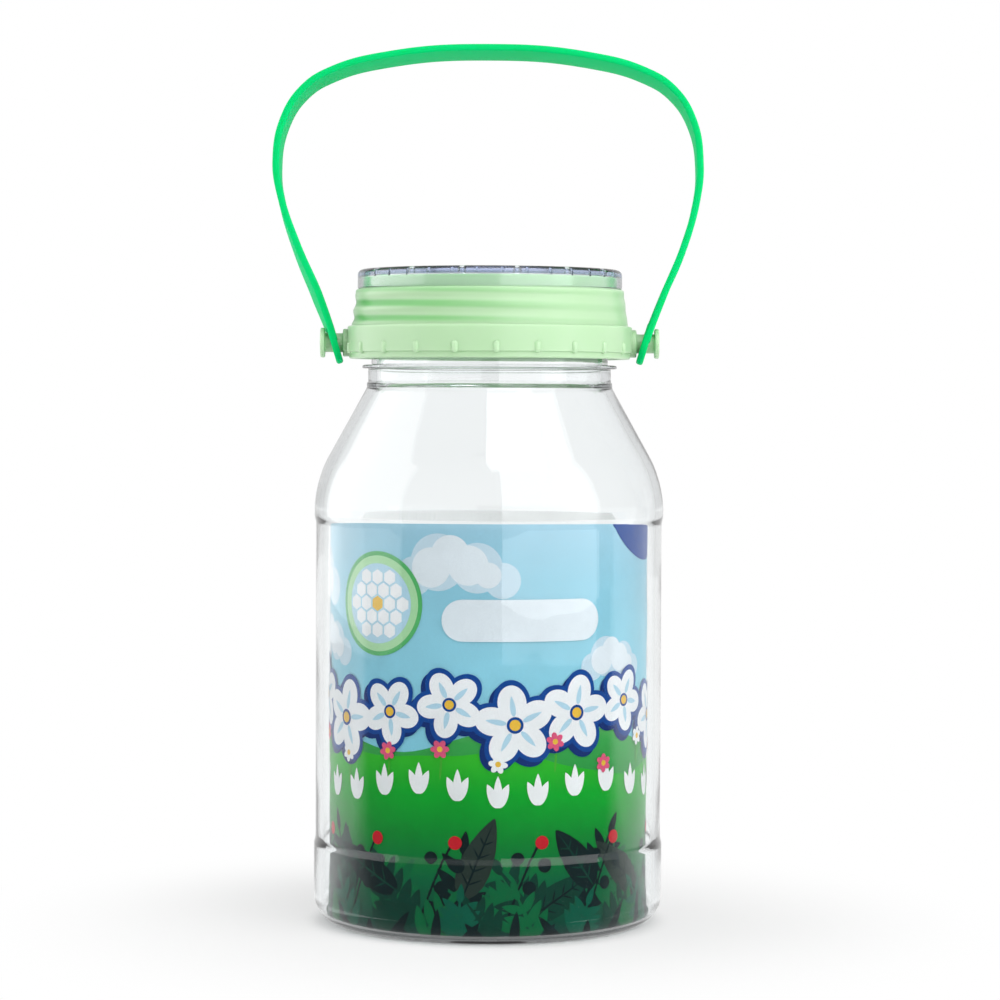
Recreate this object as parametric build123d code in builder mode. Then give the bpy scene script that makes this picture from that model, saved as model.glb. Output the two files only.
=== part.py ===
"""Bug catcher jar: a clear wide-mouth jar with a printed sleeve inside, a screw ring with
two handle pins, a snap-on magnifier cap with breathing holes, and a strip carry handle.

Millimetres. The jar stands on Z = 0 with its axis on Z. The handle pins lie along X, and
the front of the print faces -Y.
"""
from build123d import *
from math import cos, radians, sin, sqrt, tan
import os

os.makedirs("parts", exist_ok=True)

# Jar body
panel_radius = 49.9  # recessed wall that a label would lie on
bumper_proud = 0.45  # heel and shoulder stand this much outside the panel
bumper_slope = 1.6  # height of the step between panel and bumper
step_blend = 1.5
heel_height = 24.5  # from the ground to the foot of the panel
panel_height = 91.0
wall = 2.0
base_thickness = 2.4
heel_radius = 8.0
inner_heel_radius = 4.0
contact_width = 5.4  # flat ring that the jar stands on
push_up = 5.0  # rise of the domed base above the contact ring
shoulder_land = 3.8  # upright part of the shoulder bumper
shoulder_radius = 30.0
shoulder_slope = 28.9  # degrees from the axis
finish_radius = 34.1  # neck above the flange, under the thread
finish_height = 19.4  # from the flange's underside to the lip
neck_wall = 2.0
neck_step = 0.9  # the neck below the flange is this much larger
neck_land = 4.763  # from the cone's top corner to the flange
neck_blend = 6.0
flange_proud = 1.7
flange_thickness = 1.0
flange_round = 0.35
lip_round = 0.7

# Printed sleeve
sleeve_gap = 2.2  # between the jar's inner wall and the sleeve
sleeve_thickness = 0.4
sleeve_rise = 1.0  # above the panel
seat_clearance = 0.1

# Seal washer
washer_thickness = 1.2
washer_overhang = 0.9  # past the lip, inwards and outwards
washer_clearance = 0.1

# Screw ring
ceiling_thickness = 1.9
ceiling_reach = 2.1  # inside the jar's mouth
thread_room = 1.3  # height of the neck's thread, which the bore passes over
thread_clearance = 0.4
ring_height = 19.9  # from the bottom rim to the ledge under the cap
top_wall = 2.8  # outside the bore, at the ledge
top_round = 0.6
upper_flare = 1.3  # the tapered wall widens by this much down to the skirt
skirt_step = 1.1
skirt_height = 9.4
skirt_blend = 0.5
skirt_wall = 2.4
rim_inset = 0.5
rim_height = 1.9
collar_height = 3.4
collar_wall = 1.6
collar_round = 0.4
rib_count = 22
rib_radius = 0.85
rib_proud = 0.45
rib_height = 3.2
rib_bottom = 0.25  # above the rim band

# Handle pins, moulded on the ring along X
pin_rise = 4.6  # pin axis above the ring's bottom rim
pin_radius = 2.75
boss_radius = 4.0
boss_proud = 1.3
head_radius = 4.3
head_thickness = 1.3
head_dish_radius = 3.2
head_dish_depth = 0.4
pin_side_play = 0.3

# Magnifier cap
snap_clearance = 0.1
cap_wall = 1.6
cap_seat_gap = 0.2
cap_height = 5.5
cap_round = 1.5
plate_thickness = 2.0
lens_radius = 26.0
lens_crown = 1.2  # bulge of the lens above the plate
lens_belly = 2.6  # bulge of the lens below the plate
hole_count = 14
hole_radius = 1.15
hole_margin = 0.35  # between the holes and the collar

# Strip handle
strip_width = 12.5
strip_thickness = 2.0
strip_edge_radius = 0.4
eye_slope = 17.0  # degrees, outwards, where the strip passes the pin
eye_clearance = 0.08
handle_half_span = 61.6  # to the middle of the strip at its widest
handle_rise = 86.15  # from the pin axis to the middle of the strip on top
handle_lean = 9.0  # degrees, towards +Y, as the handle stands at rest
# Each pair is a share of the way from the pin out to the widest place, and of the rise.
strip_path_shares = [
    (0.304, 0.156),
    (0.664, 0.319),
    (0.928, 0.485),
    (1.000, 0.600),
    (0.872, 0.755),
    (0.520, 0.862),
    (0.066, 0.919),
]
# On the flat top the first share is of the widest half span.
strip_crown_shares = [(0.482, 0.973)]

# Cuts run this far past the faces that they go through
overrun = 1.0

bumper_radius = panel_radius + bumper_proud
inner_radius = panel_radius - wall
mouth_radius = finish_radius - neck_wall
neck_radius = finish_radius + neck_step
flange_radius = neck_radius + flange_proud
contact_outer_radius = bumper_radius - heel_radius
contact_inner_radius = contact_outer_radius - contact_width

panel_top_z = heel_height + panel_height
shoulder_start_z = panel_top_z + shoulder_land

# The shoulder is a cone between two arcs. Its corners are where the straight runs meet.
slope = radians(shoulder_slope)
shoulder_corner_z = shoulder_start_z + shoulder_radius * tan(slope / 2)
cone_top_z = shoulder_corner_z + (bumper_radius - neck_radius) / tan(slope)
inner_shoulder_radius = shoulder_radius - (bumper_radius - inner_radius)
inner_corner_z = shoulder_start_z + inner_shoulder_radius * tan(slope / 2)
inner_cone_top_z = inner_corner_z + (inner_radius - mouth_radius) / tan(slope)
flange_z = cone_top_z + neck_land
lip_z = flange_z + finish_height


def dome_radius(half_chord, rise):
    """Radius of the sphere that rises by `rise` over a circle of `half_chord`."""
    return (half_chord**2 + rise**2) / (2 * rise)


with BuildPart() as jar_body:
    with BuildSketch(Plane.XZ):
        with BuildLine():
            FilletPolyline(
                (contact_inner_radius, 0),
                (bumper_radius, 0),
                (bumper_radius, heel_height - bumper_slope),
                (panel_radius, heel_height),
                (panel_radius, panel_top_z),
                (bumper_radius, panel_top_z + bumper_slope),
                (bumper_radius, shoulder_corner_z),
                (neck_radius, cone_top_z),
                (neck_radius, flange_z),
                (flange_radius, flange_z),
                (flange_radius, flange_z + flange_thickness),
                (finish_radius, flange_z + flange_thickness),
                (finish_radius, lip_z),
                (mouth_radius, lip_z),
                (mouth_radius, inner_cone_top_z),
                (inner_radius, inner_corner_z),
                (inner_radius, base_thickness),
                (contact_inner_radius, base_thickness),
                radius=[
                    heel_radius,
                    step_blend,
                    step_blend,
                    step_blend,
                    step_blend,
                    shoulder_radius,
                    neck_blend,
                    0,
                    flange_round,
                    flange_round,
                    0,
                    lip_round,
                    lip_round,
                    neck_blend,
                    inner_shoulder_radius,
                    inner_heel_radius,
                ],
            )
            floor = dome_radius(contact_inner_radius, push_up)
            RadiusArc((contact_inner_radius, base_thickness), (0, base_thickness + push_up), -floor)
            Line((0, base_thickness + push_up), (0, push_up))
            RadiusArc((0, push_up), (contact_inner_radius, 0), floor)
        make_face()
    revolve(axis=Axis.Z)
jar_body.part.label = "jar_body"
export_step(jar_body.part, "parts/jar_body.step")

# The sleeve's lower edge stands on the inside of the heel, where the curve meets its radius.
sleeve_radius = inner_radius - sleeve_gap
heel_reach = sleeve_radius - (inner_radius - inner_heel_radius)
heel_drop = sqrt(inner_heel_radius**2 - heel_reach**2)
sleeve_bottom_z = base_thickness + inner_heel_radius - heel_drop + seat_clearance
sleeve_top_z = panel_top_z + sleeve_rise

with BuildPart() as label_insert:
    with BuildSketch(Plane.XY.offset(sleeve_bottom_z)):
        Circle(sleeve_radius)
        Circle(sleeve_radius - sleeve_thickness, mode=Mode.SUBTRACT)
    extrude(amount=sleeve_top_z - sleeve_bottom_z)
label_insert.part.label = "label_insert"
export_step(label_insert.part, "parts/label_insert.step")

# Seal washer, loose under the ring's ceiling
washer_z = lip_z + washer_clearance
with BuildPart() as seal_washer:
    with BuildSketch(Plane.XY.offset(washer_z)):
        Circle(finish_radius + washer_overhang)
        Circle(mouth_radius - washer_overhang, mode=Mode.SUBTRACT)
    extrude(amount=washer_thickness)
seal_washer.part.label = "seal_washer"
export_step(seal_washer.part, "parts/seal_washer.step")

# Screw ring: ribbed skirt, tapered wall over the thread, ceiling, and a collar for the cap
bore_radius = finish_radius + thread_room + thread_clearance
top_radius = bore_radius + top_wall
upper_bottom_radius = top_radius + upper_flare
skirt_radius = upper_bottom_radius + skirt_step
rim_radius = skirt_radius - rim_inset
ring_opening_radius = mouth_radius - ceiling_reach
ceiling_z = washer_z + washer_thickness + washer_clearance
ledge_z = ceiling_z + ceiling_thickness
ring_bottom_z = ledge_z - ring_height
skirt_top_z = ring_bottom_z + skirt_height
skirt_bore_radius = skirt_radius - skirt_wall
cap_radius = top_radius - top_round + snap_clearance
cap_bore_radius = cap_radius - cap_wall
collar_radius = cap_bore_radius - snap_clearance
collar_top_z = ledge_z + collar_height
pin_z = ring_bottom_z + pin_rise

# The strip passes the pin at a slope, clear of the boss below and of the head above.
eye_tilt = radians(eye_slope)
half_strip_across = strip_thickness / 2 / cos(eye_tilt)
boss_face_x = skirt_radius + boss_proud
eye_x = boss_face_x + pin_side_play + boss_radius * tan(eye_tilt) + half_strip_across
head_x = eye_x + half_strip_across + head_radius * tan(eye_tilt) + pin_side_play

with BuildPart() as screw_ring:
    with BuildSketch(Plane.XZ):
        with BuildLine():
            FilletPolyline(
                (skirt_bore_radius, ring_bottom_z),
                (rim_radius, ring_bottom_z),
                (rim_radius, ring_bottom_z + rim_height),
                (skirt_radius, ring_bottom_z + rim_height),
                (skirt_radius, skirt_top_z),
                (upper_bottom_radius, skirt_top_z),
                (top_radius, ledge_z),
                (collar_radius, ledge_z),
                (collar_radius, collar_top_z),
                (collar_radius - collar_wall, collar_top_z),
                (collar_radius - collar_wall, ledge_z),
                (ring_opening_radius, ledge_z),
                (ring_opening_radius, ceiling_z),
                (bore_radius, ceiling_z),
                (bore_radius, skirt_top_z),
                (skirt_bore_radius, skirt_top_z - (skirt_bore_radius - bore_radius)),
                close=True,
                radius=[
                    0,
                    skirt_blend,
                    0,
                    0,
                    skirt_blend,
                    0,
                    top_round,
                    0,
                    collar_round,
                    collar_round,
                    0,
                    0,
                    0,
                    0,
                    0,
                    0,
                ],
            )
        make_face()
    revolve(axis=Axis.Z)
    half_pitch = 360 / rib_count / 2
    with BuildSketch(Plane.XY.offset(ring_bottom_z + rim_height + rib_bottom)):
        with PolarLocations(skirt_radius - rib_radius + rib_proud, rib_count, start_angle=half_pitch):
            Circle(rib_radius)
    extrude(amount=rib_height)
    with Locations(Plane.XY.offset(ring_bottom_z + rim_height + rib_bottom + rib_height)):
        with PolarLocations(skirt_radius - rib_radius + rib_proud, rib_count, start_angle=half_pitch):
            Sphere(rib_radius)
    for side in (1, -1):
        outwards = Plane(origin=(0, 0, pin_z), x_dir=(0, 1, 0), z_dir=(side, 0, 0))
        with BuildSketch(outwards.offset(boss_face_x)):
            Circle(boss_radius)
        extrude(amount=-(boss_face_x - skirt_bore_radius))
        with BuildSketch(outwards.offset(boss_face_x)):
            Circle(pin_radius)
        extrude(amount=head_x - boss_face_x + head_thickness / 2)
        with BuildSketch(outwards.offset(head_x)):
            Circle(head_radius)
        extrude(amount=head_thickness)
        with BuildSketch(outwards.offset(head_x + head_thickness)):
            Circle(head_dish_radius)
        extrude(amount=-head_dish_depth, mode=Mode.SUBTRACT)
screw_ring.part.label = "screw_ring"
export_step(screw_ring.part, "parts/screw_ring.step")

# Magnifier cap: a clear cup that snaps over the collar, its plate swelling into a lens
hole_circle_radius = collar_radius - collar_wall - hole_margin - hole_radius
cap_bottom_z = ledge_z + cap_seat_gap
cap_top_z = cap_bottom_z + cap_height
plate_bottom_z = cap_top_z - plate_thickness

with BuildPart() as magnifier_cap:
    with BuildSketch(Plane.XZ):
        with BuildLine():
            Line((0, cap_top_z + lens_crown), (0, plate_bottom_z - lens_belly))
            RadiusArc(
                (0, plate_bottom_z - lens_belly),
                (lens_radius, plate_bottom_z),
                -dome_radius(lens_radius, lens_belly),
            )
            FilletPolyline(
                (lens_radius, plate_bottom_z),
                (cap_bore_radius, plate_bottom_z),
                (cap_bore_radius, cap_bottom_z),
                (cap_radius, cap_bottom_z),
                (cap_radius, cap_top_z),
                (lens_radius, cap_top_z),
                radius=[0, 0, 0, cap_round],
            )
            RadiusArc(
                (lens_radius, cap_top_z),
                (0, cap_top_z + lens_crown),
                -dome_radius(lens_radius, lens_crown),
            )
        make_face()
    revolve(axis=Axis.Z)
    with Locations(Plane.XY.offset(cap_top_z)):
        with PolarLocations(hole_circle_radius, hole_count):
            Hole(hole_radius, depth=plate_thickness + overrun)
magnifier_cap.part.label = "magnifier_cap"
export_step(magnifier_cap.part, "parts/magnifier_cap.step")

# Strip handle: one side is swept from the eye to the top, then mirrored
lean = radians(handle_lean)
handle_normal = Vector(0, -cos(lean), sin(lean))
handle_plane = Plane(origin=(0, 0, pin_z), x_dir=(1, 0, 0), z_dir=handle_normal)
swell = handle_half_span - eye_x
path_points = [(eye_x, 0)]
path_points += [(eye_x + out * swell, up * handle_rise) for out, up in strip_path_shares]
path_points += [(out * handle_half_span, up * handle_rise) for out, up in strip_crown_shares]
path_points += [(0, handle_rise)]
eye_direction = Vector(sin(eye_tilt), cos(eye_tilt) * sin(lean), cos(eye_tilt) * cos(lean))
eye_normal = Vector(cos(eye_tilt), -sin(eye_tilt) * sin(lean), -sin(eye_tilt) * cos(lean))

with BuildPart() as carry_handle:
    with BuildLine() as side_path:
        Spline(
            [handle_plane.from_local_coords(point) for point in path_points],
            tangents=[eye_direction, (-1, 0, 0)],
        )
    with BuildSketch(Plane(origin=side_path.line @ 0, x_dir=handle_normal, z_dir=side_path.line % 0)):
        RectangleRounded(strip_width, strip_thickness, strip_edge_radius)
    sweep(path=side_path.line)
    with BuildSketch(Plane(origin=side_path.line @ 0, x_dir=handle_normal, z_dir=eye_normal)):
        Circle(strip_width / 2)
    extrude(amount=strip_thickness / 2, both=True)
    with BuildSketch(Plane(origin=(boss_face_x, 0, pin_z), x_dir=(0, 1, 0), z_dir=(1, 0, 0))):
        Circle(pin_radius + eye_clearance)
    extrude(amount=head_x - boss_face_x, mode=Mode.SUBTRACT)
    mirror(about=Plane.YZ)
carry_handle.part.label = "carry_handle"
export_step(carry_handle.part, "parts/carry_handle.step")

print("sleeve bottom", round(sleeve_bottom_z, 3), "ring bottom", round(ring_bottom_z, 3))
print("ledge", round(ledge_z, 3), "cap", round(cap_bottom_z, 3), "to", round(cap_top_z, 3))
print("pin axis", round(pin_z, 3), "eye", round(eye_x, 3), "head", round(head_x, 3))
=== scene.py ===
"""Looks of the bug catcher jar: a clear wide-mouth jar with a printed sleeve inside, a screw
ring, a magnifier cap and a strip handle. The sizes of pieces are in millimetres; meshes, the
values in shaders and the setting are in metres.
"""
from math import ceil, cos, floor, pi, radians, sin, tan

import bmesh
import bpy
from mathutils import Matrix, Vector


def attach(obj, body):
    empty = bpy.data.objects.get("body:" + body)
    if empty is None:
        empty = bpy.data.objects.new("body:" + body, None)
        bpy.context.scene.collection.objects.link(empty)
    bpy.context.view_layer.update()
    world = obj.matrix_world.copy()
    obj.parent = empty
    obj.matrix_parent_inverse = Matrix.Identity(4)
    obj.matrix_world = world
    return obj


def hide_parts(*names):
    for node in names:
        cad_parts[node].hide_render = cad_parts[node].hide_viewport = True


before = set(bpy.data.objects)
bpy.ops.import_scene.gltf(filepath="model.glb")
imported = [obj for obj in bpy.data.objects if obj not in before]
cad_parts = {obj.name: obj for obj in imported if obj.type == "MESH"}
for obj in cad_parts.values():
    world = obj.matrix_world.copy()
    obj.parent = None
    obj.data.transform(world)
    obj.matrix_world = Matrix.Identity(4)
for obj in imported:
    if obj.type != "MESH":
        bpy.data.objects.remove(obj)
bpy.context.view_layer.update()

# Jar body. A bottle blown in clear PET: domed base on a contact ring, a panel between two
# bumpers, a cone shoulder, a support flange and a threaded neck. Its wall is 2 mm thick.
jar_corners = [  # radius, height, rounding
    (0, 5, 0),
    (18.81, 5, 138),
    (36.95, 0, 1.2),
    (50.35, 0, 8),
    (50.35, 22.9, 4),
    (49.9, 24.5, 4),
    (49.9, 115.5, 4),
    (50.35, 117.1, 4),
    (50.35, 127.04, 30),
    (35.4, 154.11, 0.8),
    (35.4, 155.45, 0.3),
    (35.0, 155.8, 0.3),
    (35.0, 159.6, 0.3),
    (36.7, 159.6, 0.35),
    (36.7, 160.6, 0.35),
    (34.1, 160.6, 0.3),
    (34.1, 163.0, 0),
    (34.1, 177.5, 0),
    (34.1, 179.0, 0.7),
    (32.1, 179.0, 0.7),
    (32.1, 155.02, 6),
    (47.9, 126.40, 27.5),
    (47.9, 2.4, 4),
    (36.95, 2.4, 1.2),
    (18.81, 7.4, 138),
    (0, 7.4, 0),
]
finish_radius = 34.1  # the neck under its thread
thread_foot, thread_head = 163.2, 177.4
thread_pitch = 4.23
thread_rise = 1.2
thread_half_width = 0.24  # as a share of the pitch
thread_run_in = 1.5  # the height over which it grows from nothing at each end


def linear(red, green, blue):
    """A screen colour, 0 to 255, as the linear colour that a shader takes."""
    shares = [c / 255 for c in (red, green, blue)]
    return [c / 12.92 if c < 0.04045 else ((c + 0.055) / 1.055) ** 2.4 for c in shares] + [1]


def turned(corners, steps, closed, rows=()):
    """A shape turned round Z from (radius, height, rounding) corners. Each of rows is
    (lowest, highest, radius, cuts): an upright run of the profile that gets that many cuts."""
    bm = bmesh.new()
    spots = [Vector((radius, 0, height)) / 1000 for radius, height, _ in corners]
    verts = [bm.verts.new(spot) for spot in spots]
    for vert, following in zip(verts, verts[1:]):
        bm.edges.new((vert, following))
    if closed:
        bm.edges.new((verts[-1], verts[0]))
    for place, (_, _, rounding) in enumerate(corners):
        if rounding:
            before = spots[place - 1] - spots[place]
            after = spots[(place + 1) % len(spots)] - spots[place]
            turn = pi - before.angle(after)
            bmesh.ops.bevel(
                bm, geom=[verts[place]], offset=rounding / 1000 * tan(turn / 2),
                offset_type="OFFSET", segments=max(3, ceil(turn / radians(4.5))), profile=0.5,
                affect="VERTICES", material=-1,
            )
    for lowest, highest, radius, cuts in rows:
        run = [
            edge for edge in bm.edges
            if all(
                lowest <= vert.co.z * 1000 <= highest and abs(vert.co.x * 1000 - radius) < 1.5
                for vert in edge.verts
            )
        ]
        bmesh.ops.subdivide_edges(bm, edges=run, cuts=cuts)
    bmesh.ops.remove_doubles(bm, verts=bm.verts, dist=2e-6)
    bmesh.ops.spin(
        bm, geom=bm.verts[:] + bm.edges[:], cent=(0, 0, 0), axis=(0, 0, 1), angle=2 * pi,
        steps=steps, use_merge=True,
    )
    bmesh.ops.remove_doubles(bm, verts=bm.verts, dist=2e-6)
    bmesh.ops.recalc_face_normals(bm, faces=bm.faces)
    return bm


def piece(name, bm, materials, body, sharp=32):
    """The finished bmesh as an object that rides on a body, smooth but for its sharp edges."""
    mesh = bpy.data.meshes.new(name)
    for face in bm.faces:
        face.smooth = True
    bm.to_mesh(mesh)
    bm.free()
    mesh.set_sharp_from_angle(angle=radians(sharp))
    for material in materials:
        mesh.materials.append(material)
    made = bpy.data.objects.new(name, mesh)
    bpy.context.scene.collection.objects.link(made)
    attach(made, body)
    return made


def new_material(name):
    """An empty node material and its node tree."""
    material = bpy.data.materials.new(name)
    material.use_nodes = True
    material.node_tree.nodes.clear()
    return material, material.node_tree


def node(tree, kind, **settings):
    """A shader node with its settings and the values of its inputs."""
    made = tree.nodes.new("ShaderNode" + kind)
    for name, value in settings.items():
        if hasattr(made, name):
            setattr(made, name, value)
        else:
            made.inputs[name.replace("_", " ")].default_value = value
    return made


def wire(tree, source, output, target, entry):
    """Links an output of one shader node to an input of another."""
    tree.links.new(source.outputs[output], target.inputs[entry])


def remap(tree, low, high, at_low, at_high, kind="LINEAR"):
    """A node that turns values from low to high into values from at_low to at_high."""
    return node(
        tree, "MapRange", From_Min=low, From_Max=high, To_Min=at_low, To_Max=at_high,
        interpolation_type=kind,
    )


# Moulded plastic is never quite even: soft waves in the surface, fine scuffs and handling marks.
surface_marks = bpy.data.node_groups.new("surface marks", "ShaderNodeTree")
for name, start in (("Wave Scale", 60), ("Scuff Scale", 900), ("Roughness", 0.1), ("Scuffs", 0.1)):
    socket = surface_marks.interface.new_socket(name, in_out="INPUT", socket_type="NodeSocketFloat")
    socket.default_value = start
for name in ("Roughness", "Height"):
    surface_marks.interface.new_socket(name, in_out="OUTPUT", socket_type="NodeSocketFloat")
into = surface_marks.nodes.new("NodeGroupInput")
out = surface_marks.nodes.new("NodeGroupOutput")
place = node(surface_marks, "TexCoord")
waves = node(surface_marks, "TexNoise", Detail=1.0)
scuffs = node(surface_marks, "TexNoise", Detail=6.0, Roughness=0.7)
scuff_range = remap(surface_marks, 0.52, 0.75, 0.0, 1.0)
scuff_share = node(surface_marks, "Math", operation="MULTIPLY_ADD")
wire(surface_marks, place, "Object", waves, "Vector")
wire(surface_marks, place, "Object", scuffs, "Vector")
wire(surface_marks, into, "Wave Scale", waves, "Scale")
wire(surface_marks, into, "Scuff Scale", scuffs, "Scale")
wire(surface_marks, scuffs, "Fac", scuff_range, "Value")
wire(surface_marks, scuff_range, "Result", scuff_share, 0)
wire(surface_marks, into, "Scuffs", scuff_share, 1)
wire(surface_marks, into, "Roughness", scuff_share, 2)
wire(surface_marks, scuff_share, "Value", out, "Roughness")
wire(surface_marks, waves, "Fac", out, "Height")


def clear_plastic(
    name, tint, ior, absorbed, density, roughness, wave_scale, wave_height, satin_from=None
):
    """Clear moulded plastic that lets the lamps through, with faint waves and scuffs. Beyond
    the radius satin_from, if there is one, the mould has left it satin."""
    material, tree = new_material(name)
    marks = node(
        tree, "Group", node_tree=surface_marks, Wave_Scale=wave_scale, Roughness=roughness,
        Scuffs=0.03,
    )
    bump = node(tree, "Bump", Strength=1.0, Distance=wave_height)
    gloss = node(tree, "BsdfPrincipled", Base_Color=tint, IOR=ior, Transmission_Weight=1.0)
    through = node(tree, "BsdfTransparent", Color=tint)
    light_path = node(tree, "LightPath")
    either = node(tree, "MixShader")
    inside = node(tree, "VolumeAbsorption", Color=absorbed, Density=density)
    output = node(tree, "OutputMaterial")
    wire(tree, marks, "Roughness", gloss, "Roughness")
    if satin_from:
        place = node(tree, "TexCoord")
        flat = node(tree, "VectorMath", operation="MULTIPLY")
        flat.inputs[1].default_value = (1, 1, 0)
        away = node(tree, "VectorMath", operation="LENGTH")
        satin = remap(tree, satin_from, satin_from + 0.0006, 0.0, 0.16)
        rougher = node(tree, "Math", operation="MAXIMUM")
        wire(tree, place, "Object", flat, 0)
        wire(tree, flat, "Vector", away, 0)
        wire(tree, away, "Value", satin, "Value")
        wire(tree, marks, "Roughness", rougher, 0)
        wire(tree, satin, "Result", rougher, 1)
        wire(tree, rougher, "Value", gloss, "Roughness")
    wire(tree, marks, "Height", bump, "Height")
    wire(tree, bump, "Normal", gloss, "Normal")
    wire(tree, light_path, "Is Shadow Ray", either, "Fac")
    wire(tree, gloss, "BSDF", either, 1)
    wire(tree, through, "BSDF", either, 2)
    wire(tree, either, "Shader", output, "Surface")
    wire(tree, inside, "Volume", output, "Volume")
    return material


clear_pet = clear_plastic(
    "clear PET", tint=linear(254, 255, 255), ior=1.47, absorbed=linear(168, 190, 198),
    density=24.0, roughness=0.015, wave_scale=45.0, wave_height=0.00012,
)
finish_run = (thread_foot - 0.3, thread_head + 0.2, finish_radius, 40)
panel_run = (24.6, 115.4, 49.9, 12)
jar = turned(jar_corners, steps=192, closed=False, rows=[finish_run, panel_run])
for vert in jar.verts:
    height = vert.co.z * 1000
    if thread_foot < height < thread_head and vert.co.xy.length * 1000 > finish_radius - 0.3:
        turns = vert.co.xy.angle_signed(Vector((1, 0))) / (2 * pi)
        across = (height / thread_pitch - turns) % 1
        ridge = max(0, 1 - abs(across - 0.5) / thread_half_width)
        ends = min(1, min(height - thread_foot, thread_head - height) / thread_run_in)
        grown = 1 + thread_rise * min(1, 1.6 * ridge) * ends / finish_radius
        vert.co.x *= grown
        vert.co.y *= grown
jar_shell = piece("jar_shell", jar, [clear_pet], "jar", sharp=40)
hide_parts("jar_body")

# Printed sleeve. A sheet of coated card rolled into a tube and stood inside the jar: white
# on its reverse, and printed outside with a meadow under a blue sky, all the way round.
card_radius = 45.7
card_thickness = 0.4
card_bottom = 2.93
card_top = 117.0
card_steps = 144
inks = {
    "cloud": (236, 244, 250),
    "haze": (206, 229, 242),
    "deep blue": (14, 72, 152),
    "shadow blue": (10, 48, 116),
    "bare white": (250, 251, 253),
    "ring green": (88, 186, 108),
    "pale green": (176, 226, 172),
    "pale blue": (186, 222, 240),
    "pink": (232, 92, 132),
    "sun yellow": (244, 196, 70),
    "leaf": (0, 104, 60),
    "teal leaf": (0, 92, 70),
    "shade leaf": (2, 62, 48),
    "night leaf": (4, 32, 34),
    "plum leaf": (40, 56, 50),
    "light leaf": (70, 176, 50),
    "berry red": (206, 30, 44),
}


def along_height(tree, stops):
    """Colour that changes with height on the card. Stops are (height, screen colour)."""
    place = node(tree, "TexCoord")
    split = node(tree, "SeparateXYZ")
    share = remap(tree, card_bottom / 1000, card_top / 1000, 0.0, 1.0)
    ramp = node(tree, "ValToRGB")
    span = card_top - card_bottom
    stops = [((height - card_bottom) / span, colour) for height, colour in stops]
    ramp.color_ramp.elements[0].position = stops[0][0]
    ramp.color_ramp.elements[0].color = linear(*stops[0][1])
    ramp.color_ramp.elements[1].position = stops[-1][0]
    ramp.color_ramp.elements[1].color = linear(*stops[-1][1])
    for position, colour in stops[1:-1]:
        ramp.color_ramp.elements.new(position).color = linear(*colour)
    wire(tree, place, "Object", split, "Vector")
    wire(tree, split, "Z", share, "Value")
    wire(tree, share, "Result", ramp, "Fac")
    return ramp


# Ink on coated card: a fine grain in the colour, a soft gloss, and a surface not quite flat.
print_grain = bpy.data.node_groups.new("print grain", "ShaderNodeTree")
print_grain.interface.new_socket("Color", in_out="INPUT", socket_type="NodeSocketColor")
print_grain.interface.new_socket("Color", in_out="OUTPUT", socket_type="NodeSocketColor")
print_grain.interface.new_socket("Height", in_out="OUTPUT", socket_type="NodeSocketFloat")
into = print_grain.nodes.new("NodeGroupInput")
out = print_grain.nodes.new("NodeGroupOutput")
place = node(print_grain, "TexCoord")
grain = node(print_grain, "TexNoise", Scale=2600.0, Detail=3.0)
blotch = node(print_grain, "TexNoise", Scale=55.0, Detail=4.0, Roughness=0.6)
both = node(print_grain, "Math", operation="ADD")
brightness = remap(print_grain, 0.6, 1.4, 0.9, 1.1)
tone = node(print_grain, "HueSaturation")
for texture in (grain, blotch):
    wire(print_grain, place, "Object", texture, "Vector")
wire(print_grain, grain, "Fac", both, 0)
wire(print_grain, blotch, "Fac", both, 1)
wire(print_grain, both, "Value", brightness, "Value")
wire(print_grain, brightness, "Result", tone, "Value")
wire(print_grain, into, "Color", tone, "Color")
wire(print_grain, tone, "Color", out, "Color")
wire(print_grain, grain, "Fac", out, "Height")


def ink_on_card(name, colour=None, stops=None, painted_glow=0.0):
    """A printed or bare card surface, of one screen colour or of stops up the card. Thin card
    lets some daylight through, which lifts its bare side: that light is painted in as a faint
    white glow of the given strength."""
    material, tree = new_material(name)
    grained = node(tree, "Group", node_tree=print_grain)
    bump = node(tree, "Bump", Strength=0.25, Distance=0.00003)
    # The emission is painted light: a glow on the card, which is no lamp.
    gloss = node(
        tree, "BsdfPrincipled", Roughness=0.45, Specular_IOR_Level=0.08,
        Emission_Color=(1, 1, 1, 1), Emission_Strength=painted_glow,
    )
    output = node(tree, "OutputMaterial")
    if stops:
        wire(tree, along_height(tree, stops), "Color", grained, "Color")
    else:
        grained.inputs["Color"].default_value = linear(*colour)
    wire(tree, grained, "Color", gloss, "Base Color")
    wire(tree, grained, "Height", bump, "Height")
    wire(tree, bump, "Normal", gloss, "Normal")
    wire(tree, gloss, "BSDF", output, "Surface")
    return material


# The reverse glows faintly: painted light for the daylight that comes through thin card.
card_white = ink_on_card("card reverse", (248, 249, 248), painted_glow=0.1)
sky_stops = [
    (3, (110, 196, 220)),
    (60, (142, 214, 234)),
    (84, (150, 214, 233)),
    (100, (150, 210, 230)),
    (117, (166, 212, 232)),
]
sky_print = ink_on_card("sky print", stops=sky_stops)
card = turned(
    [
        (card_radius - card_thickness, card_bottom, 0),
        (card_radius, card_bottom, 0),
        (card_radius, card_top, 0),
        (card_radius - card_thickness, card_top, 0),
    ],
    steps=card_steps,
    closed=True,
)
for face in card.faces:
    middle = face.calc_center_median()
    face.material_index = int(middle.xy.length * 1000 > card_radius - card_thickness / 4)
sleeve_card = piece("sleeve_card", card, [card_white, sky_print], "jar")
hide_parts("label_insert")

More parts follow.
